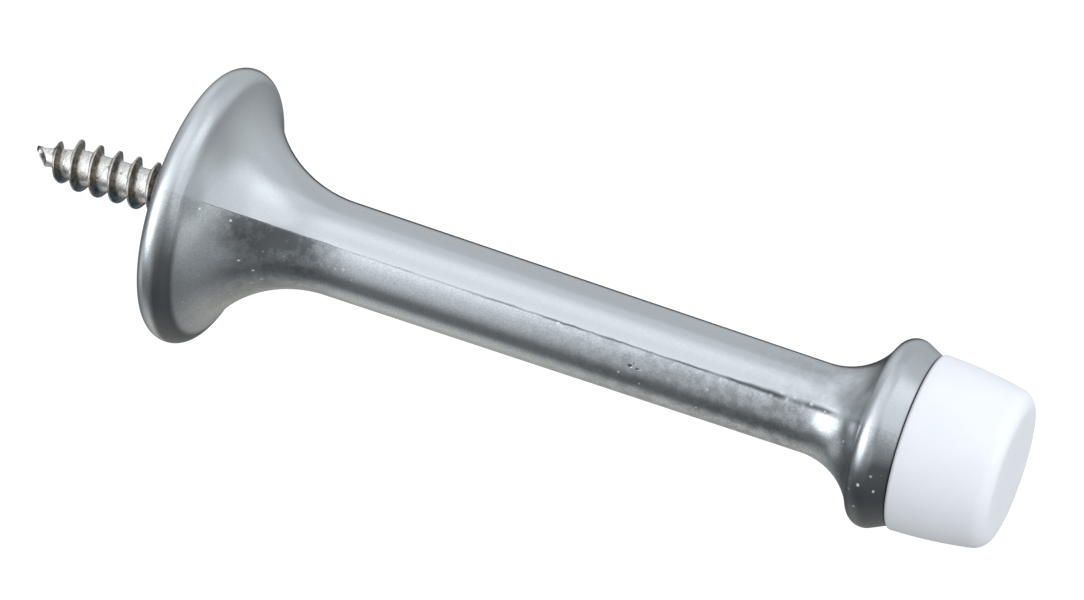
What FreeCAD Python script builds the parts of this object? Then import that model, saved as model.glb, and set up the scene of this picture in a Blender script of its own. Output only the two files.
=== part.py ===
import FreeCAD, Part
import math
import os

import Sketcher

# A rigid door stop that is screwed into the wall. The turning axis is X. The wall is the plane X = 0,
# the stem and its bumper point to +X, the screw goes into the wall to -X, and +Z is up.
SIZES = {
    "flange_radius": 12.7,
    "flange_bead": 1.6,
    "flare_length": 14.2,
    "stem_base_radius": 4.3,
    "stem_neck_radius": 4.03,
    "stem_length": 68.2,
    "neck_length": 10.0,
    "collar_radius": 8.42,
    "collar_bead": 1.55,
    "collar_length": 2.25,
    "joint_radius": 7.6,
    "joint_edge": 0.25,
    "recess_radius": 8.5,
    "recess_depth": 0.8,
    "spigot_root": 1.0,
    "spigot_neck_radius": 3.0,
    "spigot_head_radius": 3.9,
    "spigot_nose_radius": 2.6,
    "spigot_neck_length": 2.6,
    "spigot_head_length": 3.2,
    "spigot_head_land": 0.8,
    "socket_clearance": 0.05,
    "bumper_back_radius": 7.82,
    "bumper_front_radius": 7.1,
    "bumper_side_sweep": 43.0,
    "bumper_back_edge": 0.25,
    "bumper_front_edge": 1.0,
    "bumper_length": 8.6,
    "shank_radius": 1.95,
    "shank_depth": 14.0,
    "shank_reach": 11.6,
    "point_length": 4.3,
    "point_radius": 0.5,
    "point_edge": 0.35,
}

doc = FreeCAD.newDocument("door_stop")
sheet = doc.addObject("Spreadsheet::Sheet", "sizes")
for row, (alias, value) in enumerate(SIZES.items(), start=1):
    sheet.set("A%d" % row, alias)
    sheet.set("B%d" % row, str(value))
    sheet.setAlias("B%d" % row, alias)
doc.recompute()


def size(alias):
    return float(sheet.get(alias))


def expression(text):
    """Turns plain alias names into an expression of the sheet's cells."""
    words = text.split()
    return " ".join("sizes." + word if word in SIZES else word for word in words)


class Profile:
    """A closed half section in a plane through a body's X axis: station, then radius."""

    def __init__(self, body, name):
        self.sketch = body.newObject("Sketcher::SketchObject", name)
        plane = [p for p in body.Origin.OriginFeatures if p.Role == "XY_Plane"][0]
        self.sketch.AttachmentSupport = [(plane, "")]
        self.sketch.MapMode = "FlatFace"
        self.ends = []

    def line(self, start, end):
        edge = Part.LineSegment(FreeCAD.Vector(*start, 0), FreeCAD.Vector(*end, 0))
        self.ends.append((1, 2))
        return self.sketch.addGeometry(edge, False)

    def arc(self, centre, radius, start_angle, end_angle):
        """An arc run from one angle to the other, in degrees, either way round."""
        circle = Part.Circle(FreeCAD.Vector(*centre, 0), FreeCAD.Vector(0, 0, 1), radius)
        low, high = sorted((math.radians(start_angle), math.radians(end_angle)))
        self.ends.append((1, 2) if end_angle > start_angle else (2, 1))
        return self.sketch.addGeometry(Part.ArcOfCircle(circle, low, high), False)

    def close(self, smooth=()):
        """Joins each edge to the next one, tangent after the edges named smooth."""
        count = len(self.ends)
        for edge in range(count):
            following = (edge + 1) % count
            kind = "Tangent" if edge in smooth else "Coincident"
            joint = (edge, self.ends[edge][1], following, self.ends[following][0])
            self.sketch.addConstraint(Sketcher.Constraint(kind, *joint))

    def vertex(self, edge, place):
        return (edge, 3) if place == CENTRE else (edge, self.ends[edge][place])

    def bind(self, kind, places, value, text):
        """Adds a driven dimension whose value is worked out from the sheet's cells."""
        index = self.sketch.addConstraint(Sketcher.Constraint(kind, *places, value))
        self.sketch.setExpression("Constraints[%d]" % index, expression(text))

    def station(self, edge, place, text, behind=False):
        """Sets how far along the axis a point lies, behind the wall plane if so said."""
        vertex = self.vertex(edge, place)
        places = (*vertex, -1, 1) if behind else (-1, 1, *vertex)
        self.bind("DistanceX", places, abs(self.sketch.getPoint(*vertex).x), text)

    def height(self, edge, place, text):
        """Sets how far from the axis a point lies."""
        vertex = self.vertex(edge, place)
        self.bind("DistanceY", (-1, 1, *vertex), self.sketch.getPoint(*vertex).y, text)

    def radius(self, edge, text):
        self.bind("Radius", (edge,), self.sketch.Geometry[edge].Radius, text)

    def rule(self, kind, *places):
        self.sketch.addConstraint(Sketcher.Constraint(kind, *places))

    def polygon(self, corners):
        """A closed run of straight edges through corners given as two expressions each,
        a station that starts with a minus sign being behind the wall plane."""
        count = len(corners)
        turns = [2 * math.pi * corner / count for corner in range(count)]
        rough = [(20 - math.cos(turn), 5 + math.sin(turn)) for turn in turns]
        for corner in range(count):
            self.line(rough[corner], rough[(corner + 1) % count])
        self.close()
        for corner, (along, out) in enumerate(corners):
            behind = along.startswith("- ")
            self.station(corner, START, along.removeprefix("- "), behind)
            if out == "0":
                self.rule("PointOnObject", corner, 1, -1)
            else:
                self.height(corner, START, out)


def turn(body, profile, name):
    """Turns a profile once round the body's X axis."""
    feature = body.newObject("PartDesign::Revolution", name)
    feature.Profile = profile.sketch
    feature.ReferenceAxis = (profile.sketch, ["H_Axis"])
    feature.Angle = 360.0
    return feature


def meeting(first, first_radius, second, second_radius, side):
    """The point at the two radii from two centres, on the side asked for."""
    across = FreeCAD.Vector(second[0] - first[0], second[1] - first[1], 0)
    gap = across.Length
    along = (first_radius**2 - second_radius**2 + gap**2) / (2 * gap)
    off = side * math.sqrt(first_radius**2 - along**2)
    across.normalize()
    return (
        first[0] + along * across.x - off * across.y,
        first[1] + along * across.y + off * across.x,
    )


def bearing(centre, point):
    return math.degrees(math.atan2(point[1] - centre[1], point[0] - centre[0]))


def tangent_reach(start, end):
    """The radius of the arc that leaves its start along the axis and passes through its end."""
    along = end[0] - start[0]
    out = end[1] - start[1]
    return (along**2 + out**2) / (2 * out)


START = 0
END = 1
CENTRE = 2
X_AXIS = FreeCAD.Vector(1, 0, 0)
Y_AXIS = FreeCAD.Vector(0, 1, 0)
Z_AXIS = FreeCAD.Vector(0, 0, 1)
AXIAL = FreeCAD.Rotation(Y_AXIS, 90)

# The stem casting is turned from one outline: the rounded rim of the flange, the bell flare, the stem
# with its slight taper, the neck that sweeps up to the collar, and the collar with its bead.
blank = doc.addObject("PartDesign::Body", "turned_blank")
outline = Profile(blank, "casting_outline")
bead = size("flange_bead")
ring = size("collar_bead")
joint = size("stem_length")
joint_edge = size("joint_edge")
bead_centre = (bead, size("flange_radius") - bead)
ring_centre = (joint - size("collar_length"), size("collar_radius") - ring)
flare_foot = (2 * bead, bead_centre[1])
ring_foot = (ring_centre[0] - ring, ring_centre[1])
stem_foot = (size("flare_length"), size("stem_base_radius"))
stem_neck = (joint - size("neck_length"), size("stem_neck_radius"))
flare = tangent_reach(stem_foot, flare_foot)
throat = tangent_reach(stem_neck, ring_foot)
flare_centre = (stem_foot[0], stem_foot[1] + flare)
throat_centre = (stem_neck[0], stem_neck[1] + throat)
cone_end = (joint - joint_edge, size("joint_radius"))
cone_turn = bearing(ring_centre, cone_end) + math.degrees(
    math.acos(ring / math.dist(ring_centre, cone_end))
)
cone_angle = math.radians(cone_turn)
cone_start = (
    ring_centre[0] + ring * math.cos(cone_angle),
    ring_centre[1] + ring * math.sin(cone_angle),
)
face_top = (joint, cone_end[1] - joint_edge)
back = outline.line((0, 0), (0, bead_centre[1]))
rim = outline.arc(bead_centre, bead, 180, 0)
bell = outline.arc(flare_centre, flare, bearing(flare_centre, flare_foot) % 360, 270)
shaft = outline.line(stem_foot, stem_neck)
neck_turn = bearing(throat_centre, ring_foot) % 360
neck = outline.arc(throat_centre, throat, 270, neck_turn)
collar = outline.arc(ring_centre, ring, 180, cone_turn)
cone = outline.line(cone_start, cone_end)
edge = outline.line(cone_end, face_top)
face = outline.line(face_top, (joint, 0))
outline.line((joint, 0), (0, 0))
outline.close(smooth=(back, bell, shaft, collar))
outline.rule("Coincident", back, 1, -1, 1)
outline.rule("Vertical", back)
outline.radius(rim, "flange_bead")
outline.height(rim, CENTRE, "flange_radius - flange_bead")
outline.height(bell, START, "flange_radius - flange_bead")
outline.station(shaft, START, "flare_length")
outline.height(shaft, START, "stem_base_radius")
outline.station(shaft, END, "stem_length - neck_length")
outline.height(shaft, END, "stem_neck_radius")
outline.radius(collar, "collar_bead")
outline.station(collar, CENTRE, "stem_length - collar_length")
outline.height(collar, CENTRE, "collar_radius - collar_bead")
outline.height(collar, START, "collar_radius - collar_bead")
outline.station(cone, END, "stem_length - joint_edge")
outline.height(cone, END, "joint_radius")
outline.station(face, START, "stem_length")
outline.height(face, START, "joint_radius - joint_edge")
outline.rule("Vertical", face)
outline.rule("PointOnObject", face, 2, -1)
turn(blank, outline, "casting_turned")

# The spigot is a barb with a mushroom head, over which the bumper snaps.
HEAD_BACK = "stem_length + spigot_neck_length"
HEAD_LAND = HEAD_BACK + " + spigot_head_land"
NOSE = HEAD_BACK + " + spigot_head_length"
spigot = doc.addObject("PartDesign::Body", "spigot")
barb = Profile(spigot, "barb_outline")
barb.polygon(
    [
        ("stem_length - spigot_root", "0"),
        ("stem_length - spigot_root", "spigot_neck_radius"),
        (HEAD_BACK, "spigot_neck_radius"),
        (HEAD_BACK, "spigot_head_radius"),
        (HEAD_LAND, "spigot_head_radius"),
        (NOSE, "spigot_nose_radius"),
        (NOSE, "0"),
    ]
)
turn(spigot, barb, "barb_turned")
solid_casting = doc.addObject("Part::MultiFuse", "solid_casting")
solid_casting.Shapes = [blank, spigot]

# The back is relieved inside a flat ring that bears on the wall, and bored for the screw.
recess = doc.addObject("Part::Cylinder", "back_recess")
recess.Placement = FreeCAD.Placement(FreeCAD.Vector(), AXIAL)
recess.setExpression("Radius", expression("recess_radius"))
recess.setExpression("Height", expression("recess_depth"))
bore = doc.addObject("Part::Cylinder", "screw_bore")
bore.Placement = FreeCAD.Placement(FreeCAD.Vector(), AXIAL)
bore.setExpression("Radius", expression("shank_radius"))
bore.setExpression("Height", expression("shank_depth"))
relieved = doc.addObject("Part::Cut", "relieved_casting")
relieved.Base = solid_casting
relieved.Tool = recess
casting = doc.addObject("Part::Cut", "stem_casting")
casting.Base = relieved
casting.Tool = bore

# The rubber bumper is a tapered cap with a socket that closes round the spigot.
bumper = doc.addObject("PartDesign::Body", "rubber_bumper")
cap = Profile(bumper, "cap_outline")
seat = size("stem_length")
tip = seat + size("bumper_length")
back_edge = size("bumper_back_edge")
front_edge = size("bumper_front_edge")
back_corner = (seat + back_edge, size("bumper_back_radius"))
front_centre = (tip - front_edge, size("bumper_front_radius") - front_edge)
side_sweep = size("bumper_side_sweep")
side_centre = meeting(back_corner, side_sweep, front_centre, side_sweep - front_edge, -1)
back_turn = bearing(side_centre, back_corner)
front_turn = bearing(side_centre, front_centre)
socket_radius = size("spigot_neck_radius")
seat_line = cap.line((seat, socket_radius), (seat, back_corner[1] - back_edge))
back_slope = cap.line((seat, back_corner[1] - back_edge), back_corner)
side = cap.arc(side_centre, side_sweep, back_turn, front_turn)
front_round = cap.arc(front_centre, front_edge, front_turn, 0)
end_face = cap.line((tip, front_centre[1]), (tip, 0))
socket = [
    (NOSE + " + socket_clearance", "0"),
    (NOSE + " + socket_clearance", "spigot_nose_radius + socket_clearance"),
    (HEAD_LAND + " + socket_clearance", "spigot_head_radius + socket_clearance"),
    (HEAD_BACK + " - socket_clearance", "spigot_head_radius + socket_clearance"),
    (HEAD_BACK + " - socket_clearance", "spigot_neck_radius + socket_clearance"),
]
rough_socket = [(74, 0), (74, 2.6), (71.6, 3.9), (70.8, 3.9), (70.8, 3.0), (68.2, 3.0)]
core_line = cap.line((tip, 0), rough_socket[0])
for inner, outer in zip(rough_socket, rough_socket[1:]):
    cap.line(inner, outer)
cap.close(smooth=(side, front_round))
cap.rule("Vertical", seat_line)
cap.station(seat_line, START, "stem_length")
cap.height(seat_line, START, "spigot_neck_radius + socket_clearance")
cap.height(seat_line, END, "bumper_back_radius - bumper_back_edge")
cap.station(back_slope, END, "stem_length + bumper_back_edge")
cap.height(back_slope, END, "bumper_back_radius")
cap.radius(side, "bumper_side_sweep")
cap.radius(front_round, "bumper_front_edge")
cap.height(front_round, CENTRE, "bumper_front_radius - bumper_front_edge")
cap.rule("Vertical", end_face)
cap.station(end_face, END, "stem_length + bumper_length")
cap.rule("PointOnObject", end_face, 2, -1)
for step, (along, out) in enumerate(socket, start=core_line + 1):
    cap.station(step, START, along)
    if out == "0":
        cap.rule("PointOnObject", step, 1, -1)
    else:
        cap.height(step, START, out)
turn(bumper, cap, "cap_turned")

# The screw is a plain rod: its shank is held in the bore of the casting, and the rest reaches into the
# wall, tapers to a blunt point, and carries the coarse thread. Its outline is drawn along +X and
# turned round to face the wall.
screw = doc.addObject("PartDesign::Body", "wall_screw")
rod = Profile(screw, "rod_outline")
rod.polygon(
    [
        ("- shank_depth", "0"),
        ("- shank_depth", "shank_radius"),
        ("shank_reach", "shank_radius"),
        ("shank_reach + point_length - point_edge", "point_radius"),
        ("shank_reach + point_length", "point_radius - point_edge / 2"),
        ("shank_reach + point_length", "0"),
    ]
)
turn(screw, rod, "rod_turned")
screw.Placement.Rotation = FreeCAD.Rotation(Z_AXIS, 180)

doc.recompute()
failed = [item.Name for item in doc.Objects if {"Invalid", "Error"} & set(item.State)]
if failed:
    raise SystemExit("these objects failed: " + ", ".join(failed))

os.makedirs("parts", exist_ok=True)
for piece in (casting, bumper, screw):
    shape = piece.Shape
    if shape.isNull() or not shape.isValid():
        raise SystemExit(piece.Name + " has no valid shape")
    print(piece.Label, len(shape.Solids), "solid", len(shape.Faces), "faces", end=" ")
    print("%.1f mm3" % shape.Volume, "%.2f %.2f" % (shape.BoundBox.XMin, shape.BoundBox.XMax))
    shape.exportStep("parts/" + piece.Label + ".step")
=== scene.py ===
import math

import bmesh
import bpy
from mathutils import Matrix, Vector


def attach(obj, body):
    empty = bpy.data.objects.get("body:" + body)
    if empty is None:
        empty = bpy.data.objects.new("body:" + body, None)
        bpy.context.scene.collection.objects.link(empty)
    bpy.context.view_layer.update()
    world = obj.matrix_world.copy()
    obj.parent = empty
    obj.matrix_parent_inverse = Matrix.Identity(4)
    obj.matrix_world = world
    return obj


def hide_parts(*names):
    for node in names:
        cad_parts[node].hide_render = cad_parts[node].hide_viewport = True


# A rigid door stop. The turning axis is X, the wall is the plane X = 0, the bumper points to +X, the
# screw goes into the wall to -X, +Z is up and the front is -Y. Sizes are millimetres until a mesh is
# finished, and angles are degrees. A station is a place along X, and a height is a distance from the axis.
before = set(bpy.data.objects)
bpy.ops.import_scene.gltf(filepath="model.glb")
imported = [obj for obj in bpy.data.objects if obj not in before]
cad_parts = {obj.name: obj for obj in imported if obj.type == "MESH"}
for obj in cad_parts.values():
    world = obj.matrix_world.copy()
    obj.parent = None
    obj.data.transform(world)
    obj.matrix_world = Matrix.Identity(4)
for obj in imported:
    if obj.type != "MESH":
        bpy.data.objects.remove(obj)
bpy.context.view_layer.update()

MILLIMETRE = 0.001

# Casting
FLANGE_RADIUS = 12.7
FLANGE_BEAD = 1.6
FLARE_LENGTH = 14.2
STEM_BASE_RADIUS = 4.3
STEM_NECK_RADIUS = 4.03
STEM_LENGTH = 68.2
NECK_LENGTH = 9.2
COLLAR_RADIUS = 8.42
COLLAR_BEAD = 1.55
COLLAR_LENGTH = 2.25
JOINT_RADIUS = 7.6
JOINT_EDGE = 0.25
RECESS_RADIUS = 8.5
RECESS_DEPTH = 0.8
RECESS_EDGE = 0.2

# Mould parting line, by its roll up from the front. Each mould half is rounded about a place past the axis,
# by a share of the height, so that the halves meet in a low ridge. Past the full height that place stays.
SEAM_ROLL = 52.3
SEAM_SHARE = 0.06
SEAM_FULL_HEIGHT = 1.15 * STEM_BASE_RADIUS
SEAM_START = 3.4
SEAM_END = 63.0
SEAM_FADE = 5.0

# Spigot and the socket round it
SPIGOT_NECK_RADIUS = 3.0
SPIGOT_HEAD_RADIUS = 3.9
SPIGOT_NOSE_RADIUS = 2.6
SPIGOT_NECK_LENGTH = 2.6
SPIGOT_HEAD_LENGTH = 3.2
SPIGOT_HEAD_LAND = 0.8
SOCKET_CLEARANCE = 0.05

# Bumper
BUMPER_BACK_RADIUS = 7.82
BUMPER_FRONT_RADIUS = 7.1
BUMPER_SIDE_SWEEP = 43.0
BUMPER_BACK_EDGE = 0.3
BUMPER_FRONT_EDGE = 1.6
BUMPER_LENGTH = 8.6

# Screw: its shank, and its core, which is straight, then a cone, then a round end
SHANK_RADIUS = 1.95
SHANK_DEPTH = 14.0
SHANK_PROUD = 0.9
SHANK_SHOULDER = 0.1
SCREW_REACH = 15.9
SCREW_LEAN = 0.03
CORE_RADIUS = 1.48
CORE_START = -1.4
CONE_START = -11.0
CONE_END = -15.2
CONE_END_RADIUS = 0.62

# The screw's thread: it grows out of the shank, stays level, and dies away in two stretches
THREAD_RADIUS = 2.3
THREAD_PITCH = 1.88
THREAD_ROOT_WIDTH = 0.98
THREAD_CREST_WIDTH = 0.16
THREAD_FULL = -2.6
THREAD_FALL = -12.0
THREAD_KNEE = -13.6
THREAD_KNEE_RADIUS = 1.68
THREAD_END = -14.9
CREST_STATION = -4.34
CREST_ROLL = 38.0

TO_BUMPER = Vector((1, 0, 0))
UPWARDS = Vector((0, 0, 1))
# Across the stem in the photograph's picture plane, downwards: the screw leans this way
DOWNWARDS = Vector((0, -0.788, -0.616))
# Across the parting plane, towards the upper mould half
ACROSS_SEAM = Vector((0, math.sin(math.radians(SEAM_ROLL)), math.cos(math.radians(SEAM_ROLL))))

# The slanted cut of the screw's point: a place on it, the side that is gone, the rim that is left, how deep
# it is hollowed, and how much painted shade its hollow has, as a share of the thread's height
POINT_CUT = Vector((CONE_END, 0, 0))
POINT_CUT_SIDE = Vector((-0.66, -0.72, 0.21))
POINT_RIM = 0.12
POINT_HOLLOW = 0.3
POINT_HOLLOW_SHADE = 0.6

# How finely the forms are made
ROUND_STEPS = 240
SHARP_ANGLE = 32.0
THREAD_STEPS = 96
THREAD_TURNS = 10
TURNS_BEFORE_CREST = 7

# What counts as the same place: in a merge, in a cut, on a plane and on a cut's rim
MERGE_GAP = 0.0005
THREAD_MERGE_GAP = 0.002
CUT_GAP = 0.0001
PLANE_GAP = 0.001
RIM_GAP = 0.01

# Bearings in an outline, and the ways that its pen swings
AWAY_FROM_WALL = 0
TOWARDS_AXIS = 270
ANTICLOCKWISE = 1
CLOCKWISE = -1


def meeting(first, first_radius, second, second_radius, side):
    """The point at the two radii from two centres, on the side asked for."""
    gap = math.dist(first, second)
    along = (first_radius**2 - second_radius**2 + gap**2) / (2 * gap)
    off = side * math.sqrt(first_radius**2 - along**2)
    across = ((second[0] - first[0]) / gap, (second[1] - first[1]) / gap)
    return (
        first[0] + along * across[0] - off * across[1],
        first[1] + along * across[1] + off * across[0],
    )


def bearing(centre, point):
    """The direction from a centre to a point, from 0 to 360."""
    return math.degrees(math.atan2(point[1] - centre[1], point[0] - centre[0])) % 360


def sweep_into(run, rise, bead):
    """The radius of an arc that leaves the stem level and runs smoothly into a bead."""
    return (run**2 + rise**2 - bead**2) / (2 * (rise + bead))


def between(value, low, high, at_low, at_high):
    """A value that runs straight from one amount to another between two stations."""
    share = min(max((value - low) / (high - low), 0), 1)
    return at_low + share * (at_high - at_low)


def new_verts(made):
    """The vertices among what an operator has made."""
    return [item for item in made if isinstance(item, bmesh.types.BMVert)]


class Outline:
    """A half section drawn without lifting the pen: station along X, height along Y."""

    def __init__(self, station, height):
        self.mesh = bmesh.new()
        self.pen = self.mesh.verts.new((station, height, 0))

    def line(self, station, height, pieces=1):
        """Draws straight to a point, in one or more equal pieces."""
        start = self.pen.co.copy()
        end = Vector((station, height, 0))
        for piece in range(1, pieces + 1):
            point = self.mesh.verts.new(start.lerp(end, piece / pieces))
            self.mesh.edges.new((self.pen, point))
            self.pen = point

    def arc(self, centre, turn, steps):
        """Swings the pen round a centre by an angle, anticlockwise when positive."""
        swung = bmesh.ops.spin(
            self.mesh,
            geom=[self.pen],
            cent=(*centre, 0),
            axis=(0, 0, 1),
            angle=math.radians(turn),
            steps=steps,
        )
        self.pen = new_verts(swung["geom_last"])[0]

    def swing_to(self, centre, bearing_to, way, steps):
        """Swings the pen round a centre until it bears on an angle."""
        turn = (bearing_to - bearing(centre, self.pen.co[:2])) * way % 360 * way
        self.arc(centre, turn, steps)

    def turned(self, roll):
        """Turns the outline once round the axis, starting at a roll from +Y towards +Z."""
        start = Matrix.Rotation(math.radians(roll), 4, "X")
        bmesh.ops.rotate(self.mesh, verts=self.mesh.verts, cent=(0, 0, 0), matrix=start)
        bmesh.ops.spin(
            self.mesh,
            geom=self.mesh.verts[:] + self.mesh.edges[:],
            cent=(0, 0, 0),
            axis=TO_BUMPER,
            angle=math.tau,
            steps=ROUND_STEPS,
            use_merge=True,
        )
        bmesh.ops.remove_doubles(self.mesh, verts=self.mesh.verts, dist=MERGE_GAP)
        bmesh.ops.recalc_face_normals(self.mesh, faces=self.mesh.faces)
        return self.mesh


def placed(mesh, name):
    """An object in the scene that is made of a mesh."""
    data = bpy.data.meshes.new(name)
    mesh.to_mesh(data)
    mesh.free()
    piece = bpy.data.objects.new(name, data)
    bpy.context.scene.collection.objects.link(piece)
    return piece


def finished(mesh, name, node):
    """Makes a finished object of a mesh in millimetres and lets it stand for its solid."""
    for face in mesh.faces:
        face.smooth = True
    for edge in mesh.edges:
        if edge.is_manifold and edge.calc_face_angle() > math.radians(SHARP_ANGLE):
            edge.smooth = False
    bmesh.ops.scale(mesh, vec=(MILLIMETRE,) * 3, verts=mesh.verts)
    piece = placed(mesh, name)
    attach(piece, "root")
    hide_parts(node)
    return piece


def casting_mesh():
    """Bore, relief, flange, flare, stem, neck, collar, joint face and spigot in one turned outline."""
    bead_centre = (FLANGE_BEAD, FLANGE_RADIUS - FLANGE_BEAD)
    flare_run = FLARE_LENGTH - bead_centre[0]
    flare_radius = sweep_into(flare_run, bead_centre[1] - STEM_BASE_RADIUS, FLANGE_BEAD)
    flare_centre = (FLARE_LENGTH, STEM_BASE_RADIUS + flare_radius)
    neck_start = STEM_LENGTH - NECK_LENGTH
    ring_centre = (STEM_LENGTH - COLLAR_LENGTH, COLLAR_RADIUS - COLLAR_BEAD)
    neck_run = ring_centre[0] - neck_start
    neck_radius = sweep_into(neck_run, ring_centre[1] - STEM_NECK_RADIUS, COLLAR_BEAD)
    neck_centre = (neck_start, STEM_NECK_RADIUS + neck_radius)
    edge_centre = (STEM_LENGTH - JOINT_EDGE, JOINT_RADIUS - JOINT_EDGE)
    cone_normal = bearing(ring_centre, edge_centre) + math.degrees(
        math.acos((COLLAR_BEAD - JOINT_EDGE) / math.dist(ring_centre, edge_centre))
    )

    pen = Outline(SHANK_DEPTH, 0)
    pen.line(SHANK_DEPTH, SHANK_RADIUS)
    pen.line(RECESS_DEPTH, SHANK_RADIUS)
    pen.line(RECESS_DEPTH, RECESS_RADIUS)
    pen.line(RECESS_EDGE, RECESS_RADIUS)
    pen.arc((RECESS_EDGE, RECESS_RADIUS + RECESS_EDGE), -90, steps=4)
    pen.line(0, bead_centre[1], pieces=4)
    pen.swing_to(bead_centre, bearing(bead_centre, flare_centre), CLOCKWISE, steps=26)
    pen.swing_to(flare_centre, TOWARDS_AXIS, ANTICLOCKWISE, steps=38)
    pen.line(neck_start, STEM_NECK_RADIUS, pieces=31)
    pen.swing_to(neck_centre, bearing(neck_centre, ring_centre), ANTICLOCKWISE, steps=18)
    pen.swing_to(ring_centre, cone_normal, CLOCKWISE, steps=20)
    pen.line(
        edge_centre[0] + JOINT_EDGE * math.cos(math.radians(cone_normal)),
        edge_centre[1] + JOINT_EDGE * math.sin(math.radians(cone_normal)),
        pieces=3,
    )
    pen.swing_to(edge_centre, AWAY_FROM_WALL, CLOCKWISE, steps=5)
    pen.line(STEM_LENGTH, SPIGOT_NECK_RADIUS, pieces=3)
    head_back = STEM_LENGTH + SPIGOT_NECK_LENGTH
    pen.line(head_back, SPIGOT_NECK_RADIUS)
    pen.line(head_back, SPIGOT_HEAD_RADIUS)
    pen.line(head_back + SPIGOT_HEAD_LAND, SPIGOT_HEAD_RADIUS)
    pen.line(head_back + SPIGOT_HEAD_LENGTH, SPIGOT_NOSE_RADIUS)
    pen.line(head_back + SPIGOT_HEAD_LENGTH, 0)
    return pen.turned(180 - SEAM_ROLL)


def is_skin(vert):
    """Whether a vertex of the casting lies on its outer, moulded skin."""
    height = math.hypot(vert.co.y, vert.co.z)
    if vert.co.x < FLANGE_BEAD:
        return height > FLANGE_RADIUS - FLANGE_BEAD - RIM_GAP
    inside = (SPIGOT_NECK_RADIUS + STEM_NECK_RADIUS) / 2
    return height > inside and vert.co.x < STEM_LENGTH - PLANE_GAP


def on_seam(vert):
    in_reach = SEAM_START < vert.co.x < SEAM_END
    return in_reach and abs(vert.co.dot(ACROSS_SEAM)) < PLANE_GAP and is_skin(vert)


def part_halves(mesh):
    """Moves the skin out to the two mould halves, which meet in a low ridge along the parting line."""
    for vert in mesh.verts:
        if not is_skin(vert):
            continue
        height = math.hypot(vert.co.y, vert.co.z)
        across = abs(vert.co.dot(ACROSS_SEAM)) / height
        offset = SEAM_SHARE * min(height, SEAM_FULL_HEIGHT)
        offset *= between(vert.co.x, SEAM_START, SEAM_START + SEAM_FADE, 0, 1)
        offset *= between(vert.co.x, SEAM_END - SEAM_FADE, SEAM_END, 1, 0)
        swell = height + offset
        reach = math.sqrt(swell**2 - offset**2 * (1 - across**2)) - offset * across
        vert.co.y *= reach / height
        vert.co.z *= reach / height
    for edge in mesh.edges:
        if all(on_seam(vert) for vert in edge.verts):
            edge.smooth = False


def bumper_mesh():
    """The tapered cap with its round front edge, and the socket that grips the spigot."""
    tip = STEM_LENGTH + BUMPER_LENGTH
    back_centre = (STEM_LENGTH + BUMPER_BACK_EDGE, BUMPER_BACK_RADIUS - BUMPER_BACK_EDGE)
    front_centre = (tip - BUMPER_FRONT_EDGE, BUMPER_FRONT_RADIUS - BUMPER_FRONT_EDGE)
    side_centre = meeting(
        back_centre,
        BUMPER_SIDE_SWEEP - BUMPER_BACK_EDGE,
        front_centre,
        BUMPER_SIDE_SWEEP - BUMPER_FRONT_EDGE,
        side=-1,
    )
    nose = STEM_LENGTH + SPIGOT_NECK_LENGTH + SPIGOT_HEAD_LENGTH + SOCKET_CLEARANCE
    head_land = STEM_LENGTH + SPIGOT_NECK_LENGTH + SPIGOT_HEAD_LAND + SOCKET_CLEARANCE
    head_back = STEM_LENGTH + SPIGOT_NECK_LENGTH - SOCKET_CLEARANCE
    pen = Outline(nose, 0)
    pen.line(nose, SPIGOT_NOSE_RADIUS + SOCKET_CLEARANCE)
    pen.line(head_land, SPIGOT_HEAD_RADIUS + SOCKET_CLEARANCE)
    pen.line(head_back, SPIGOT_HEAD_RADIUS + SOCKET_CLEARANCE)
    pen.line(head_back, SPIGOT_NECK_RADIUS + SOCKET_CLEARANCE)
    pen.line(STEM_LENGTH, SPIGOT_NECK_RADIUS + SOCKET_CLEARANCE)
    pen.line(STEM_LENGTH, back_centre[1], pieces=3)
    pen.swing_to(back_centre, bearing(side_centre, back_centre), CLOCKWISE, steps=5)
    pen.swing_to(side_centre, bearing(side_centre, front_centre), CLOCKWISE, steps=12)
    pen.swing_to(front_centre, AWAY_FROM_WALL, CLOCKWISE, steps=12)
    pen.line(tip, 0, pieces=6)
    return pen.turned(0)


def core_radius(station):
    """The screw's core: a straight stretch that widens to the shank, a cone, and a round end."""
    if station > CONE_START:
        return between(station, CORE_START, -SHANK_PROUD, CORE_RADIUS, SHANK_RADIUS)
    if station > CONE_END:
        return between(station, CONE_END, CONE_START, CONE_END_RADIUS, CORE_RADIUS)
    left = max(station + SCREW_REACH, 0) / (SCREW_REACH + CONE_END)
    return CONE_END_RADIUS * math.sqrt(max(1 - (1 - left) ** 2, 0))


def crest_radius(station):
    """The reach of the thread: it grows out of the shank and dies away towards the point."""
    if station > THREAD_FALL:
        return between(station, THREAD_FULL, -SHANK_PROUD, THREAD_RADIUS, SHANK_RADIUS)
    if station > THREAD_KNEE:
        return between(station, THREAD_KNEE, THREAD_FALL, THREAD_KNEE_RADIUS, THREAD_RADIUS)
    return between(station, THREAD_END, THREAD_KNEE, core_radius(THREAD_END), THREAD_KNEE_RADIUS)


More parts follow.
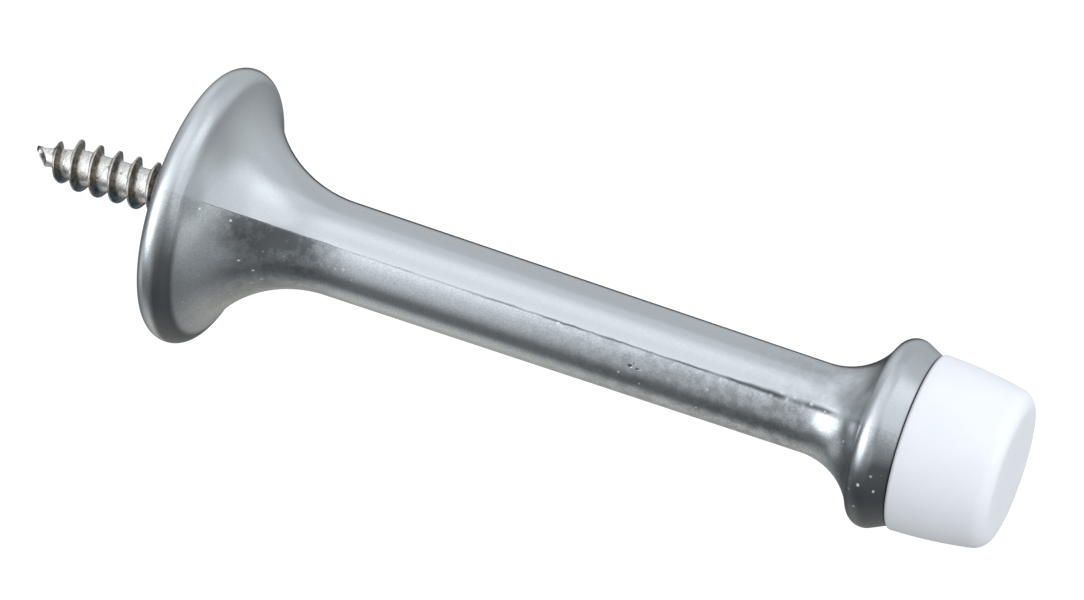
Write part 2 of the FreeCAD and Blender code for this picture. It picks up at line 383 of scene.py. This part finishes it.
def wound_thread():
    """One pitch of the thread's outline, wound into a run that is longer than the screw at both ends."""
    start = CREST_STATION - TURNS_BEFORE_CREST * THREAD_PITCH
    half_root = THREAD_ROOT_WIDTH / 2
    half_crest = THREAD_CREST_WIDTH / 2
    pen = Outline(start - THREAD_PITCH / 2, CORE_RADIUS)
    pen.line(start - half_root, CORE_RADIUS, pieces=3)
    pen.line(start - half_crest, THREAD_RADIUS, pieces=4)
    pen.line(start + half_crest, THREAD_RADIUS)
    pen.line(start + half_root, CORE_RADIUS, pieces=4)
    pen.line(start + THREAD_PITCH / 2, CORE_RADIUS, pieces=3)
    mesh = pen.mesh
    roll = Matrix.Rotation(math.radians(CREST_ROLL), 4, "X")
    bmesh.ops.rotate(mesh, verts=mesh.verts, cent=(0, 0, 0), matrix=roll)
    bmesh.ops.spin(
        mesh,
        geom=mesh.verts[:] + mesh.edges[:],
        cent=(0, 0, 0),
        axis=TO_BUMPER,
        dvec=(THREAD_PITCH / THREAD_STEPS, 0, 0),
        angle=math.tau * THREAD_TURNS,
        steps=THREAD_STEPS * THREAD_TURNS,
    )
    bmesh.ops.remove_doubles(mesh, verts=mesh.verts, dist=THREAD_MERGE_GAP)
    return mesh


def fit_thread(mesh, rise):
    """Brings the run to the screw's own core and crest, and notes each place's rise above the core."""
    depth = THREAD_RADIUS - CORE_RADIUS
    for vert in mesh.verts:
        height = math.hypot(vert.co.y, vert.co.z)
        share = (height - CORE_RADIUS) / depth
        core = core_radius(vert.co.x)
        reach = core + share * max(crest_radius(vert.co.x) - core, 0)
        vert.co.y *= reach / height
        vert.co.z *= reach / height
        vert[rise] = (reach - core) / depth


def cut_off(mesh, place, side):
    """Takes away what lies past a flat cut."""
    bmesh.ops.bisect_plane(
        mesh,
        geom=mesh.verts[:] + mesh.edges[:] + mesh.faces[:],
        dist=CUT_GAP,
        plane_co=place,
        plane_no=side,
        clear_outer=True,
    )


def open_rim(mesh, place, side):
    """The open edges that a flat cut has left."""
    return [
        edge
        for edge in mesh.edges
        if edge.is_boundary and all(abs((vert.co - place).dot(side)) < RIM_GAP for vert in edge.verts)
    ]


def drawn_rim(mesh, place):
    """Draws new faces from the open rim at a place on the axis, and gives the vertices of the new rim."""
    drawn = bmesh.ops.extrude_edge_only(mesh, edges=open_rim(mesh, place, TO_BUMPER))
    return new_verts(drawn["geom"])


def add_shank(mesh, rise, neck):
    """Widens the neck to the shank by a small shoulder, and draws the shank out to its hidden end."""
    for vert in drawn_rim(mesh, neck):
        to_shank = SHANK_RADIUS / math.hypot(vert.co.y, vert.co.z)
        vert.co = (vert.co.x + SHANK_SHOULDER, vert.co.y * to_shank, vert.co.z * to_shank)
        vert[rise] = 0
    shank_start = neck + SHANK_SHOULDER * TO_BUMPER
    shank_end = SHANK_DEPTH * TO_BUMPER
    bmesh.ops.translate(mesh, verts=drawn_rim(mesh, shank_start), vec=shank_end - shank_start)
    bmesh.ops.holes_fill(mesh, edges=open_rim(mesh, shank_end, TO_BUMPER))


def face_outwards(mesh):
    """Turns every face of a closed mesh away from its inside."""
    bmesh.ops.recalc_face_normals(mesh, faces=mesh.faces)
    if mesh.calc_volume(signed=True) < 0:
        bmesh.ops.reverse_faces(mesh, faces=mesh.faces)


def hollow_point(mesh, rise):
    """Closes the slanted cut at the point and sinks it inside a thin rim."""
    cut = bmesh.ops.holes_fill(mesh, edges=open_rim(mesh, POINT_CUT, POINT_CUT_SIDE))["faces"]
    face_outwards(mesh)
    bmesh.ops.inset_region(mesh, faces=cut, thickness=POINT_RIM, depth=-POINT_HOLLOW)
    # The hollow takes the flanks' dark colour as painted shade
    for vert in {vert for face in cut for vert in face.verts}:
        vert[rise] = POINT_HOLLOW_SHADE


def screw_mesh():
    """The wound thread with the screw's form, cut off at both ends, with its shank and its point."""
    mesh = wound_thread()
    rise = mesh.verts.layers.float.new("rise")
    fit_thread(mesh, rise)
    neck = -SHANK_PROUD * TO_BUMPER
    cut_off(mesh, neck, TO_BUMPER)
    cut_off(mesh, POINT_CUT, POINT_CUT_SIDE)
    add_shank(mesh, rise, neck)
    hollow_point(mesh, rise)
    for vert in mesh.verts:
        vert.co += DOWNWARDS * SCREW_LEAN * max(-vert.co.x, 0)
    face_outwards(mesh)
    return mesh


class Nodes:
    """A node tree with short words for its nodes, its links and its settings."""

    def __init__(self, tree):
        self.tree = tree

    def add(self, kind, inputs=(), **settings):
        made = self.tree.nodes.new("ShaderNode" + kind)
        for name, value in settings.items():
            setattr(made, name, value)
        for socket, value in dict(inputs).items():
            self.feed(made, socket, value)
        return made

    def feed(self, made, socket, value):
        """Sets a socket to a value, or links it to an output."""
        if isinstance(value, bpy.types.NodeSocket):
            self.tree.links.new(value, made.inputs[socket])
        else:
            made.inputs[socket].default_value = value

    def math(self, operation, *values):
        return self.add("Math", enumerate(values), operation=operation).outputs[0]

    def vector(self, operation, *values):
        made = self.add("VectorMath", enumerate(values), operation=operation)
        return made.outputs["Value" if operation in ("DOT_PRODUCT", "LENGTH") else "Vector"]

    def fade(self, value, start, end, low=0.0, high=1.0, kind="SMOOTHSTEP"):
        """A smooth change from one amount to another as a value goes from start to end."""
        made = self.add("MapRange", enumerate((value, start, end, low, high)), interpolation_type=kind)
        return made.outputs[0]

    def ramp(self, share, low, high):
        """A straight change from one amount to another as a share goes from 0 to 1."""
        return self.fade(share, 0, 1, low, high, kind="LINEAR")

    def use(self, group, inputs):
        """Places a node group with its own values and gives its outputs."""
        return self.add("Group", inputs, node_tree=group).outputs

    def product(self, *values):
        result = values[0]
        for value in values[1:]:
            result = self.math("MULTIPLY", result, value)
        return result

    def total(self, *values):
        result = values[0]
        for value in values[1:]:
            result = self.math("ADD", result, value)
        return result

    def blend(self, share, first, second):
        """A mix of two colours. The node takes them in sockets 6 and 7 and puts the mix out by socket 2."""
        return self.add("Mix", {0: share, 6: first, 7: second}, data_type="RGBA").outputs[2]

    def choose(self, share, first, second):
        """A mix of two shaders."""
        return self.add("MixShader", {0: share, 1: first.outputs[0], 2: second.outputs[0]})


def emptied(owner):
    """The node tree of a material or of the world, without the nodes that it comes with."""
    owner.use_nodes = True
    owner.node_tree.nodes.clear()
    return Nodes(owner.node_tree)


# Studio light, as the object reflects it: soft panels by name, with their turn from the front towards the
# bumper, their height above the horizon, their outer and inner half width, and their strength. The gap
# behind is a dark place that takes light away.
PANELS = {
    "overhead": (-10, 88, 56, 46, 0.18),
    "zenith": (-50, 62, 52, 10, 0.72),
    "back": (180, 25, 78, 30, 0.47),
    "right": (110, 30, 60, 38, 0.1),
    "glow": (86, 40, 46, 20, 0.62),
    "left": (-118, 18, 44, 14, 0.3),
    "window": (-52, 20, 50, 18, 0.45),
    "window_core": (-51, 14, 30, 8, 2.0),
    "front": (0, 12, 42, 14, 0.38),
    "front_right": (38, 0, 40, 10, 0.15),
    "low_left": (-72, -28, 16, 5, 0.5),
    "low_right": (72, -16, 34, 12, 0.18),
    "floor": (-150, -66, 22, 4, 0.1),
    "floor_left": (-55, -60, 26, 8, 0.25),
    "floor_wide": (30, -84, 44, 12, 0.26),
    "ridge_glow": (97, -10, 24, 8, 0.46),
    "gap_behind": (-157, -34, 15, 6, -0.6),
}
# The light between the panels, and the least that is left in the gap behind
GLOOM = 0.2
DEEP_GLOOM = 0.03
# The window's right side is cut off by a curtain: its turn and its softness
CURTAIN_TURN = -6
CURTAIN_SOFTNESS = 8
# What is reflected is bluish, and a little warmer from straight below, by how far a direction points up
SKY_TINT = (0.93, 0.992, 1.045, 1)
FLOOR_TINT = (1, 1, 0.96, 1)
FLOOR_TINT_REACH = (-0.8, -0.95)

# The plain light, which isn't reflected: from below, from above, and what comes besides from the side that
# the bumper's end faces
PLAIN_TINT = (0.985, 0.99, 1, 1)
PLAIN_BELOW = 0.89
PLAIN_ABOVE = 0.99
END_LIGHT = 1.1
END_LIGHT_REACH = (0.2, 1)
WHITE = (1, 1, 1, 1)


def panel_direction(turn, height):
    turn, height = math.radians(turn), math.radians(height)
    return (
        math.sin(turn) * math.cos(height),
        -math.cos(turn) * math.cos(height),
        math.sin(height),
    )


def panel_light(nodes, towards, name):
    turn, height, outer, inner, strength = PANELS[name]
    facing = nodes.vector("DOT_PRODUCT", towards, panel_direction(turn, height))
    light = nodes.fade(facing, math.cos(math.radians(outer)), math.cos(math.radians(inner)), 0, strength)
    if name in ("window", "window_core"):
        leftwards = nodes.vector("DOT_PRODUCT", towards, panel_direction(CURTAIN_TURN - 90, 0))
        fold = math.sin(math.radians(CURTAIN_SOFTNESS))
        light = nodes.product(light, nodes.fade(leftwards, -fold, fold))
    return light


def light_studio():
    """The world: panels for reflections, plain light for the rest, and white where the camera sees it."""
    world = bpy.data.worlds.new("studio")
    bpy.context.scene.world = world
    nodes = emptied(world)
    towards = nodes.add("TexCoord").outputs["Generated"]
    rise = nodes.vector("DOT_PRODUCT", towards, UPWARDS)
    outwards = nodes.vector("DOT_PRODUCT", towards, TO_BUMPER)
    shine = nodes.total(GLOOM, *(panel_light(nodes, towards, name) for name in PANELS))
    shine = nodes.math("MAXIMUM", shine, DEEP_GLOOM)
    tint = nodes.blend(nodes.fade(rise, *FLOOR_TINT_REACH), SKY_TINT, FLOOR_TINT)
    soft = nodes.total(
        nodes.ramp(rise, PLAIN_BELOW, PLAIN_ABOVE), nodes.fade(outwards, *END_LIGHT_REACH, 0, END_LIGHT)
    )
    metal = nodes.add("Background", {"Color": tint, "Strength": shine})
    plain = nodes.add("Background", {"Color": PLAIN_TINT, "Strength": soft})
    white = nodes.add("Background", {"Color": WHITE, "Strength": 1.0})
    rays = nodes.add("LightPath").outputs
    lit = nodes.choose(rays["Is Glossy Ray"], plain, metal)
    seen = nodes.choose(rays["Is Camera Ray"], lit, white)
    nodes.add("OutputWorld", {"Surface": seen.outputs[0]})


# Floor: its depth below the axis, its half width in metres, its paint, and the paint and the glow that
# the camera sees in its place, which are nearly white
FLOOR_DEPTH = 60.0
FLOOR_REACH = 3
FLOOR_PAINT = (0.3, 0.3, 0.3, 1)
FLOOR_SEEN_PAINT = (0.28, 0.28, 0.28, 1)
FLOOR_SEEN_GLOW = 0.78


def lay_floor():
    """A plain pale floor that the camera sees nearly white and that nothing reflects."""
    mesh = bmesh.new()
    bmesh.ops.create_grid(mesh, x_segments=1, y_segments=1, size=FLOOR_REACH)
    bmesh.ops.translate(mesh, verts=mesh.verts, vec=(0, 0, -FLOOR_DEPTH * MILLIMETRE))
    floor = placed(mesh, "floor")
    floor.visible_glossy = False
    paint = bpy.data.materials.new("pale_floor")
    nodes = emptied(paint)
    pale = nodes.add("BsdfDiffuse", {"Color": FLOOR_PAINT})
    matt = nodes.add("BsdfDiffuse", {"Color": FLOOR_SEEN_PAINT})
    glow = nodes.add("Emission", {"Color": WHITE, "Strength": FLOOR_SEEN_GLOW})
    both = nodes.add("AddShader", {0: matt.outputs[0], 1: glow.outputs[0]})
    seen = nodes.choose(nodes.add("LightPath").outputs["Is Camera Ray"], pale, both)
    nodes.add("OutputMaterial", {"Surface": seen.outputs[0]})
    floor.data.materials.append(paint)


def new_group(name, inputs, outputs):
    """An empty node group: its tree, its nodes, what is handed in and the node that hands out."""
    tree = bpy.data.node_groups.new(name, "ShaderNodeTree")
    for socket, kind, value in inputs:
        made = tree.interface.new_socket(socket, in_out="INPUT", socket_type="NodeSocket" + kind)
        made.default_value = value
    for socket in outputs:
        tree.interface.new_socket(socket, in_out="OUTPUT", socket_type="NodeSocketFloat")
    given = tree.nodes.new("NodeGroupInput").outputs
    handed_out = tree.nodes.new("NodeGroupOutput")
    return tree, Nodes(tree), given, handed_out


def grain_group():
    """An uneven skin of a size in millimetres: a height about zero, and patches from 0 to 1."""
    tree, nodes, given, handed_out = new_group(
        "uneven_skin",
        (
            ("Place", "Vector", (0, 0, 0)),
            ("Size", "Float", 1.0),
            ("Detail", "Float", 4.0),
            ("Patch Edge", "Float", 0.1),
        ),
        ("Height", "Patches"),
    )
    middle = 0.5
    pattern = nodes.add(
        "TexNoise",
        {
            "Vector": given["Place"],
            "Scale": nodes.math("DIVIDE", 1.0, given["Size"]),
            "Detail": given["Detail"],
            "Roughness": 0.6,
        },
    )
    amount = pattern.outputs[0]
    low = nodes.math("SUBTRACT", middle, given["Patch Edge"])
    high = nodes.math("ADD", middle, given["Patch Edge"])
    nodes.feed(handed_out, "Height", nodes.math("SUBTRACT", amount, middle))
    nodes.feed(handed_out, "Patches", nodes.fade(amount, low, high))
    return tree


def speck_group():
    """Scattered round marks: how far apart, how wide and what share of the places have one."""
    tree, nodes, given, handed_out = new_group(
        "scattered_specks",
        (
            ("Place", "Vector", (0, 0, 0)),
            ("Spacing", "Float", 1.0),
            ("Width", "Float", 0.2),
            ("Share", "Float", 0.3),
        ),
        ("Specks",),
    )
    per_millimetre = nodes.math("DIVIDE", 1.0, given["Spacing"])
    cells = nodes.add("TexVoronoi", {"Vector": given["Place"], "Scale": per_millimetre}).outputs
    reach = nodes.product(cells["Distance"], given["Spacing"])
    chance = nodes.add("SeparateXYZ", {0: cells["Color"]}).outputs
    picked = nodes.math("LESS_THAN", chance[0], given["Share"])
    radius = nodes.product(given["Width"], nodes.fade(chance[1], 0, 1, low=0.2, high=0.6))
    nodes.feed(handed_out, "Specks", nodes.product(picked, nodes.fade(reach, radius, 0)))
    return tree


def new_finish(name):
    """An empty material with its shader, ready for a finish, and the place on the piece in millimetres."""
    finish = bpy.data.materials.new(name)
    nodes = emptied(finish)
    shader = nodes.add("BsdfPrincipled")
    nodes.add("OutputMaterial", {"Surface": shader.outputs[0]})
    place = nodes.vector("MULTIPLY", nodes.add("TexCoord").outputs["Object"], (1 / MILLIMETRE,) * 3)
    return finish, nodes, shader, place


def press(nodes, shader, height):
    """Lets a height in millimetres show as relief."""
    relief = nodes.add("Bump", {"Strength": 1.0, "Distance": MILLIMETRE, "Height": height})
    nodes.feed(shader, "Normal", relief.outputs[0])


CHROME = (0.645, 0.665, 0.672, 1)
# Dull chrome, which also serves as painted shade and painted dark reflections
DULL_AND_SHADED_CHROME = (0.158, 0.166, 0.171, 1)
# Grime for the crack and the pits, which also serves as painted shade in the gap at the joint
GRIME_AND_GAP_SHADE = (0.035, 0.04, 0.045, 1)
ZINC = (0.9, 0.92, 0.93, 1)

# Stretches of the casting, from the station where a mask begins to the one where it is full. The second
# pair, where there is one, gives the same for its other end.
SKIN_FROM = (0.6, 1.2)
SHOULDER = ((1.5, 2.2), (3.4, 3.1))
DUSTY_FROM = (2.5, 3.5)
SEAM_LINE = ((SEAM_START, SEAM_START + 1.2), (SEAM_END, SEAM_END - 2))
THROAT = ((4.0, 7.5), (18, 11.5))
UP_TO_COLLAR = ((24, 52), (61, 57))
CLOUDY_NECK = ((50, 60), (66, 62))
NICKED_FROM = (50, 60)
RING = (62.5, 64.5)
LIP = (66.0, 67.0)
# Painted shade in the gap at the joint with the bumper
JOINT_GAP_SHADE = (STEM_LENGTH - 0.22, STEM_LENGTH - 0.05)
# Stations between which an amount grows: the dust, the line's width and darkness, the painted shade and the
# rough skin at the neck, and the rough skin towards the bead
DUST_GROWS = (20, 42)
LINE_OPENS = (14, 30)
LINE_WIDENS = (48, 59)
LINE_DARKENS = (16, 46)
NECK_SHADE_GROWS = (56, 64)
NECK_ROUGHENS = (57, 62)
BEAD_ROUGHENS = (8, 4)
# Distances across the parting plane, negative below it, over which each darkened place sets in, with its
# painted shade and painted dark reflections, and over which the throat's painted darkness gets weaker
LOWER_HALF = (0.12, -0.12)
BELOW_IN_THROAT = (-0.8, -5.0)
BELOW_ON_SHOULDER = (-0.8, -6.5)
BELOW_ON_RING = (-1.5, -5.0)
BELOW_ON_LIP = (-0.2, -4.5)
# The same for the nicks beside the line, on both its sides
BESIDE_LINE = (0.55, 0.1)
# The flat back: the stations and the heights at which the chromed skin gives way to it
BACK_STATIONS = (1.0, 0.85)
BACK_HEIGHTS = (11.4, 10.9)

# Marks in the casting's skin: station, roll up from the front, height, half length along the stem, half
# width across it, and whether it is bright or dark
BRIGHT = 1
DARK = -1
MARKS = (
    (4.1, 48.6, 9.9, 0.3, 0.14, BRIGHT),
    (6.3, 46.6, 7.5, 0.24, 0.16, BRIGHT),
    (7.3, 16.6, 6.5, 0.3, 0.13, BRIGHT),
    (8.4, 5.9, 5.8, 0.28, 0.14, BRIGHT),
    (43.3, 29.4, 4.3, 0.27, 0.2, DARK),
    (44.0, 28.0, 4.3, 0.2, 0.13, DARK),
    (43.6, 33.5, 4.3, 0.09, 0.09, DARK),
    (65.9, 15.4, 8.4, 0.2, 0.24, BRIGHT),
    (67.2, 12.0, 8.0, 0.14, 0.2, BRIGHT),
)


def marks(nodes, place, kind):
    """The single marks of one kind that the casting has."""
    shown = 0.0
    for station, roll, height, half_length, half_width, brightness in MARKS:
        if brightness != kind:
            continue
        roll = math.radians(roll)
        centre = (station, -height * math.cos(roll), height * math.sin(roll))
        off = nodes.vector("SUBTRACT", place, centre)
        stretched = nodes.vector("DIVIDE", off, (half_length, half_width, half_width))
        shown = nodes.total(shown, nodes.fade(nodes.vector("LENGTH", stretched), 1.0, 0.4))
    return shown


def stretch(nodes, station, begins, ends):
    """A mask for a stretch of the casting, which begins and ends over two pairs of stations."""
    return nodes.product(nodes.fade(station, *begins), nodes.fade(station, *ends))


def dull_and_shaded_half(nodes, station, across, lower, patches):
    """How dark the lower mould half is painted: painted dark reflections in the throat and on shoulder,
    ring and lip, its mottled dull skin, and an even painted shade up to the collar.
    """
    throat = nodes.product(
        stretch(nodes, station, *THROAT),
        nodes.fade(across, *BELOW_IN_THROAT, low=1, high=0.4),
        nodes.ramp(patches, 0.85, 1.15),
    )
    shoulder = nodes.product(stretch(nodes, station, *SHOULDER), nodes.fade(across, *BELOW_ON_SHOULDER))
    ring = nodes.product(nodes.fade(station, *RING), nodes.fade(across, *BELOW_ON_RING))
    lip = nodes.product(nodes.fade(station, *LIP), nodes.fade(across, *BELOW_ON_LIP), 0.5)
    collar = stretch(nodes, station, *UP_TO_COLLAR)
    mottled = nodes.product(patches, nodes.fade(collar, 0, 1, low=0.05, high=0.28))
    even = nodes.product(collar, 0.16)
    return nodes.product(lower, nodes.total(throat, shoulder, ring, lip, mottled, even))


def parting_crack(nodes, skin, place, station, across, waves, along):
    """The parting line: a thin dark crack that wanders a little and widens towards the neck."""
    wander = nodes.use(skin, {"Place": place, "Size": 1.3, "Detail": 4.0, "Patch Edge": 0.1})
    off_line = nodes.math("ABSOLUTE", nodes.total(across, nodes.product(wander["Height"], 0.22)))
    width = nodes.total(
        nodes.fade(station, *LINE_OPENS, low=0.05, high=0.14),
        nodes.fade(station, *LINE_WIDENS, low=0, high=0.34),
    )
    broken = nodes.fade(waves["Patches"], 0, 1, low=0.45, high=0.95)
    return nodes.product(nodes.fade(off_line, width, 0.01), broken, along)


def bright_nicks(nodes, specks, place, station, across, lower, along):
    """Places where the zinc shows: single marks, nicks beside the line near the neck, and dust below it."""
    off_line = nodes.math("ABSOLUTE", across)
    beside = nodes.product(nodes.fade(off_line, *BESIDE_LINE), nodes.fade(station, *NICKED_FROM))
    near_line = nodes.use(specks, {"Place": place, "Spacing": 0.55, "Width": 0.55, "Share": 0.65})
    dust = nodes.use(specks, {"Place": place, "Spacing": 0.9, "Width": 0.42, "Share": 0.3})
    dusty = nodes.product(
        lower, nodes.fade(station, *DUSTY_FROM), nodes.fade(station, *DUST_GROWS, low=0.6, high=1)
    )
    nicks = nodes.total(
        marks(nodes, place, BRIGHT),
        nodes.product(near_line["Specks"], beside, along),
        nodes.product(dust["Specks"], dusty),
    )
    return nodes.math("MINIMUM", nicks, 1.0)


def chrome_finish(skin, specks):
    finish, nodes, shader, place = new_finish("satin_chrome")
    station = nodes.add("SeparateXYZ", {0: place}).outputs[0]
    across = nodes.vector("DOT_PRODUCT", place, ACROSS_SEAM)
    height = nodes.vector("LENGTH", nodes.vector("MULTIPLY", place, (0, 1, 1)))
    mottle = nodes.use(skin, {"Place": place, "Size": 0.9, "Detail": 6.0, "Patch Edge": 0.12})
    fine = nodes.use(skin, {"Place": place, "Size": 0.16, "Detail": 3.0, "Patch Edge": 0.2})
    waves = nodes.use(skin, {"Place": place, "Size": 4.5, "Detail": 1.0, "Patch Edge": 0.2})

    lower = nodes.product(nodes.fade(across, *LOWER_HALF), nodes.fade(station, *SKIN_FROM))
    along = stretch(nodes, station, *SEAM_LINE)
    # The lower half is painted darker: painted dark reflections in the throat and on shoulder, ring and
    # lip, and painted shade up to the collar, over its mottled dull skin
    dull_and_shade = dull_and_shaded_half(nodes, station, across, lower, mottle["Patches"])
    # The flat back, which lies against the wall, is left as it was cast: rough and dull
    back = nodes.product(nodes.fade(station, *BACK_STATIONS), nodes.fade(height, *BACK_HEIGHTS))
    crack = parting_crack(nodes, skin, place, station, across, waves, along)
    nicks = bright_nicks(nodes, specks, place, station, across, lower, along)
    pits = marks(nodes, place, DARK)
    # Painted shade in the gap at the joint with the bumper
    joint = nodes.fade(station, *JOINT_GAP_SHADE)

    dullness_and_shade = nodes.total(
        dull_and_shade,
        nodes.product(stretch(nodes, station, *CLOUDY_NECK), mottle["Patches"], 0.16),
        # A painted shade that grows over the neck and ring and dims their reflections
        nodes.fade(station, *NECK_SHADE_GROWS, low=0, high=0.14),
        nodes.product(back, nodes.fade(mottle["Patches"], 0, 1, low=0.2, high=0.4)),
    )
    rubbed = nodes.total(0.07, nodes.product(lower, 0.2), nodes.product(dull_and_shade, 0.2))
    worn = nodes.product(fine["Patches"], rubbed)
    crack_share = nodes.product(crack, nodes.fade(station, *LINE_DARKENS, low=0.55, high=0.92))
    colour = nodes.blend(dullness_and_shade, CHROME, DULL_AND_SHADED_CHROME)
    colour = nodes.blend(worn, colour, DULL_AND_SHADED_CHROME)
    colour = nodes.blend(crack_share, colour, GRIME_AND_GAP_SHADE)
    colour = nodes.blend(nodes.product(pits, 0.8), colour, GRIME_AND_GAP_SHADE)
    colour = nodes.blend(nodes.product(nicks, 0.85), colour, ZINC)
    colour = nodes.blend(nodes.product(joint, 0.85), colour, GRIME_AND_GAP_SHADE)
    nodes.feed(shader, "Base Color", colour)
    nodes.feed(shader, "Metallic", nodes.ramp(nicks, 1.0, 0.45))

    plain_roughness = 0.17
    rough = nodes.total(
        plain_roughness,
        nodes.fade(station, *NECK_ROUGHENS, low=0, high=0.05),
        nodes.fade(station, *BEAD_ROUGHENS, low=0, high=0.07),
        nodes.product(dull_and_shade, 0.12),
        nodes.product(fine["Patches"], 0.03),
        nodes.product(crack, 0.3),
        nodes.product(back, 0.28),
    )
    nodes.feed(shader, "Roughness", rough)
    relief = nodes.total(
        nodes.product(waves["Height"], 0.012),
        nodes.product(mottle["Height"], nodes.fade(lower, 0, 1, low=0.002, high=0.006)),
        nodes.product(fine["Height"], nodes.fade(lower, 0, 1, low=0.0008, high=0.0018)),
        nodes.product(back, mottle["Height"], 0.03),
        nodes.product(crack, -0.03),
        nodes.product(pits, -0.04),
        nodes.product(nicks, 0.01),
    )
    press(nodes, shader, relief)
    return finish


RUBBER = (0.82, 0.86, 0.91, 1)
RUBBER_SHADE = (0.77, 0.81, 0.855, 1)
# Dirt for the specks, which also serves as painted shade at the joint
RUBBER_DIRT_AND_SHADE = (0.45, 0.46, 0.47, 1)
# The stations between which the painted shade in the gap at the joint with the collar fades in
RUBBER_JOINT_SHADE = (STEM_LENGTH + 0.35, STEM_LENGTH + 0.05)


def rubber_finish(skin, specks):
    finish, nodes, shader, place = new_finish("white_rubber")
    station = nodes.add("SeparateXYZ", {0: place}).outputs[0]
    clouds = nodes.use(skin, {"Place": place, "Size": 3.0, "Detail": 3.0, "Patch Edge": 0.15})
    fine = nodes.use(skin, {"Place": place, "Size": 0.3, "Detail": 4.0, "Patch Edge": 0.2})
    dust = nodes.use(specks, {"Place": place, "Spacing": 1.9, "Width": 0.22, "Share": 0.1})
    # Painted shade in the gap at the joint with the collar
    joint = nodes.fade(station, *RUBBER_JOINT_SHADE)
    colour = nodes.blend(nodes.product(clouds["Patches"], 0.3), RUBBER, RUBBER_SHADE)
    colour = nodes.blend(nodes.product(fine["Patches"], 0.15), colour, RUBBER_SHADE)
    colour = nodes.blend(nodes.product(dust["Specks"], 0.5), colour, RUBBER_DIRT_AND_SHADE)
    colour = nodes.blend(nodes.product(joint, 0.6), colour, RUBBER_DIRT_AND_SHADE)
    nodes.feed(shader, "Base Color", colour)
    nodes.feed(shader, "Roughness", nodes.ramp(fine["Patches"], 0.46, 0.56))
    relief = nodes.total(nodes.product(fine["Height"], 0.008), nodes.product(clouds["Height"], 0.03))
    press(nodes, shader, relief)
    return finish


STEEL = (0.96, 0.94, 0.91, 1)
STEEL_BRASSY = (0.82, 0.74, 0.58, 1)
STEEL_DARK = (0.085, 0.08, 0.075, 1)
STEEL_BROWN = (0.25, 0.21, 0.16, 1)
STEEL_BLUE_SHADE = (0.08, 0.125, 0.15, 1)
STEEL_WORN = (0.4, 0.38, 0.34, 1)
# The streaks run round the core, so their pattern is squeezed along the screw
STREAK_SQUEEZE = (2.6, 1, 1)
# How far down from the axis the flanks take a bluish painted shade on the lower side
BLUE_SHADE_BELOW = (1.2, 2.1)


def steel_finish(skin, specks):
    finish, nodes, shader, place = new_finish("screw_steel")
    rise = nodes.add("Attribute", attribute_name="rise").outputs["Fac"]
    streak_place = nodes.vector("MULTIPLY", place, STREAK_SQUEEZE)
    streaks = nodes.use(skin, {"Place": streak_place, "Size": 0.55, "Detail": 6.0, "Patch Edge": 0.1})
    tarnish = nodes.use(skin, {"Place": place, "Size": 1.1, "Detail": 4.0, "Patch Edge": 0.1})
    fine = nodes.use(skin, {"Place": place, "Size": 0.14, "Detail": 3.0, "Patch Edge": 0.15})
    pits = nodes.use(specks, {"Place": place, "Spacing": 0.5, "Width": 0.4, "Share": 0.45})
    # The flanks are darker, and the crest is rubbed brighter
    flank = nodes.product(nodes.fade(rise, 0.05, 0.3), nodes.fade(rise, 1.0, 0.9, low=0.55, high=1.0))
    colour = nodes.blend(nodes.product(tarnish["Patches"], 0.35), STEEL, STEEL_BRASSY)
    colour = nodes.blend(nodes.product(streaks["Patches"], 0.4), colour, STEEL_WORN)
    colour = nodes.blend(nodes.product(pits["Specks"], 0.8), colour, STEEL_DARK)
    # A bluish painted shade on the screw's lower side
    below = nodes.fade(nodes.vector("DOT_PRODUCT", place, DOWNWARDS), *BLUE_SHADE_BELOW)
    shade = nodes.blend(nodes.product(tarnish["Patches"], 0.8), STEEL_DARK, STEEL_BROWN)
    shade = nodes.blend(below, shade, STEEL_BLUE_SHADE)
    covered = nodes.product(flank, nodes.fade(streaks["Patches"], 0, 1, low=0.8, high=0.97))
    colour = nodes.blend(covered, colour, shade)
    nodes.feed(shader, "Base Color", colour)
    nodes.feed(shader, "Metallic", 1.0)
    plain_roughness = 0.22
    rough = nodes.total(plain_roughness, nodes.product(flank, 0.1), nodes.product(fine["Patches"], 0.1))
    nodes.feed(shader, "Roughness", rough)
    relief = nodes.total(
        nodes.product(streaks["Height"], 0.07),
        nodes.product(fine["Height"], 0.008),
        nodes.product(pits["Specks"], -0.03),
    )
    press(nodes, shader, relief)
    return finish


# The photograph's viewing angle: lens and sensor in millimetres, place in metres, tilt and turn
CAMERA_LENS = 166.05
CAMERA_SENSOR = 36
CAMERA_PLACE = (0.14658, -0.25743, 0.32999)
CAMERA_TILT = 40.62
CAMERA_TURN = 23.72


def set_camera():
    lens = bpy.data.cameras.new("photograph_view")
    lens.lens = CAMERA_LENS
    lens.sensor_width = CAMERA_SENSOR
    camera = bpy.data.objects.new("photograph_view", lens)
    camera.location = CAMERA_PLACE
    camera.rotation_euler = (math.radians(CAMERA_TILT), 0, math.radians(CAMERA_TURN))
    bpy.context.scene.collection.objects.link(camera)
    bpy.context.scene.camera = camera


casting_form = casting_mesh()
part_halves(casting_form)
casting = finished(casting_form, "cast_stem", "stem_casting")
bumper = finished(bumper_mesh(), "bumper_cap", "rubber_bumper")
screw = finished(screw_mesh(), "threaded_screw", "wall_screw")
skin = grain_group()
specks = speck_group()
casting.data.materials.append(chrome_finish(skin, specks))
bumper.data.materials.append(rubber_finish(skin, specks))
screw.data.materials.append(steel_finish(skin, specks))
light_studio()
lay_floor()
set_camera()
bpy.context.scene.view_settings.view_transform = "Standard"
